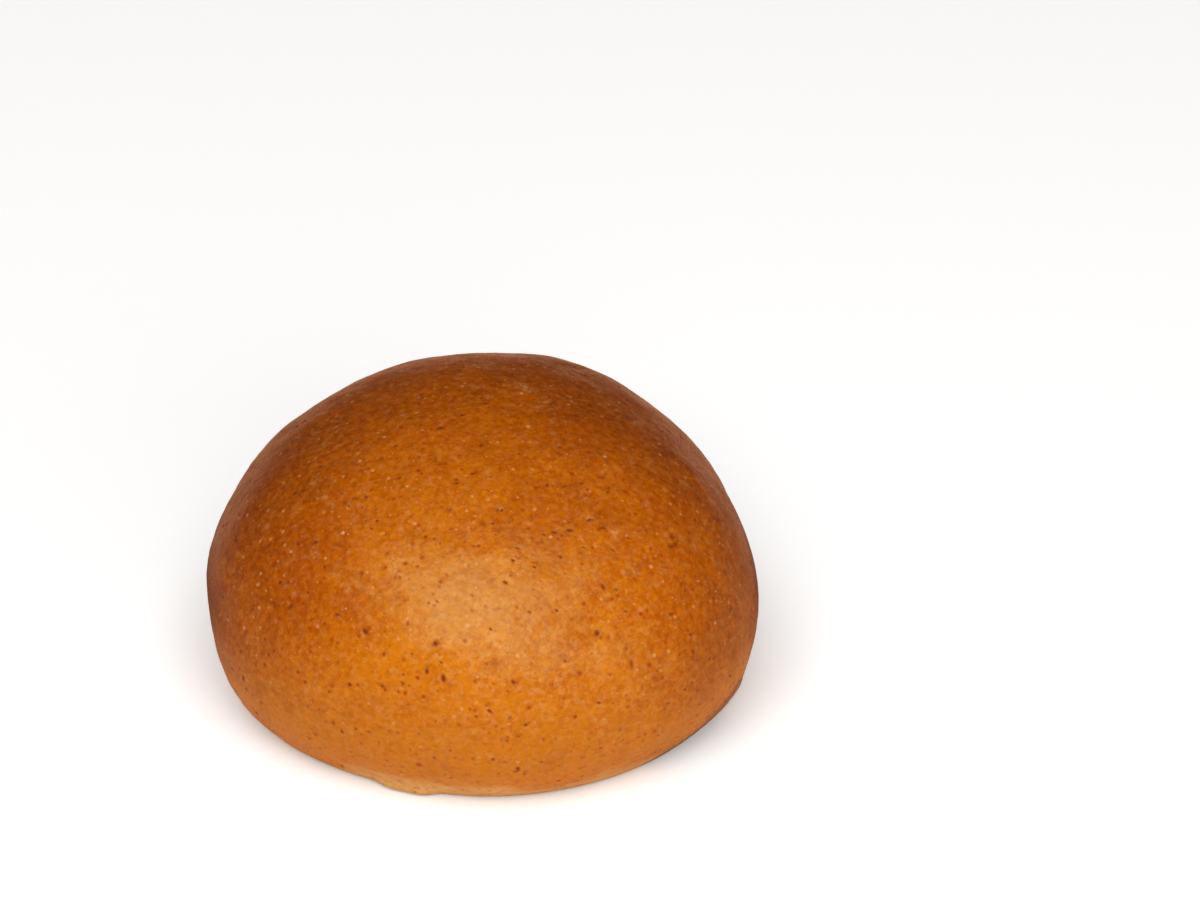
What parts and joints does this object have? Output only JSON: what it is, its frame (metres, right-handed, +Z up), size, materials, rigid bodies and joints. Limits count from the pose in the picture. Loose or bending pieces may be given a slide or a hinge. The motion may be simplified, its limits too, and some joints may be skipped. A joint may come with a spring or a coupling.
{
  "type": "bread roll",
  "caption": "Soft round bread roll with a domed glossy brown crust, tucked-in sides and a flat base, for a plate, basket or shop shelf.",
  "frame": {"origin": "middle of the flat base, where the roll stands", "axes": "+Z up through the crown, +X to the roll's right, +Y to its rear, which is the longer way across"},
  "size_m": [0.1026, 0.1076, 0.0559],
  "materials": {
    "crust": "satin golden to deep brown baked crust with fine dark bran specks, pores and pale flecks, paler round the foot and on the base"
  },
  "bodies": {
    "root": {"bread_roll": "crust"}
  },
  "joints": []
}
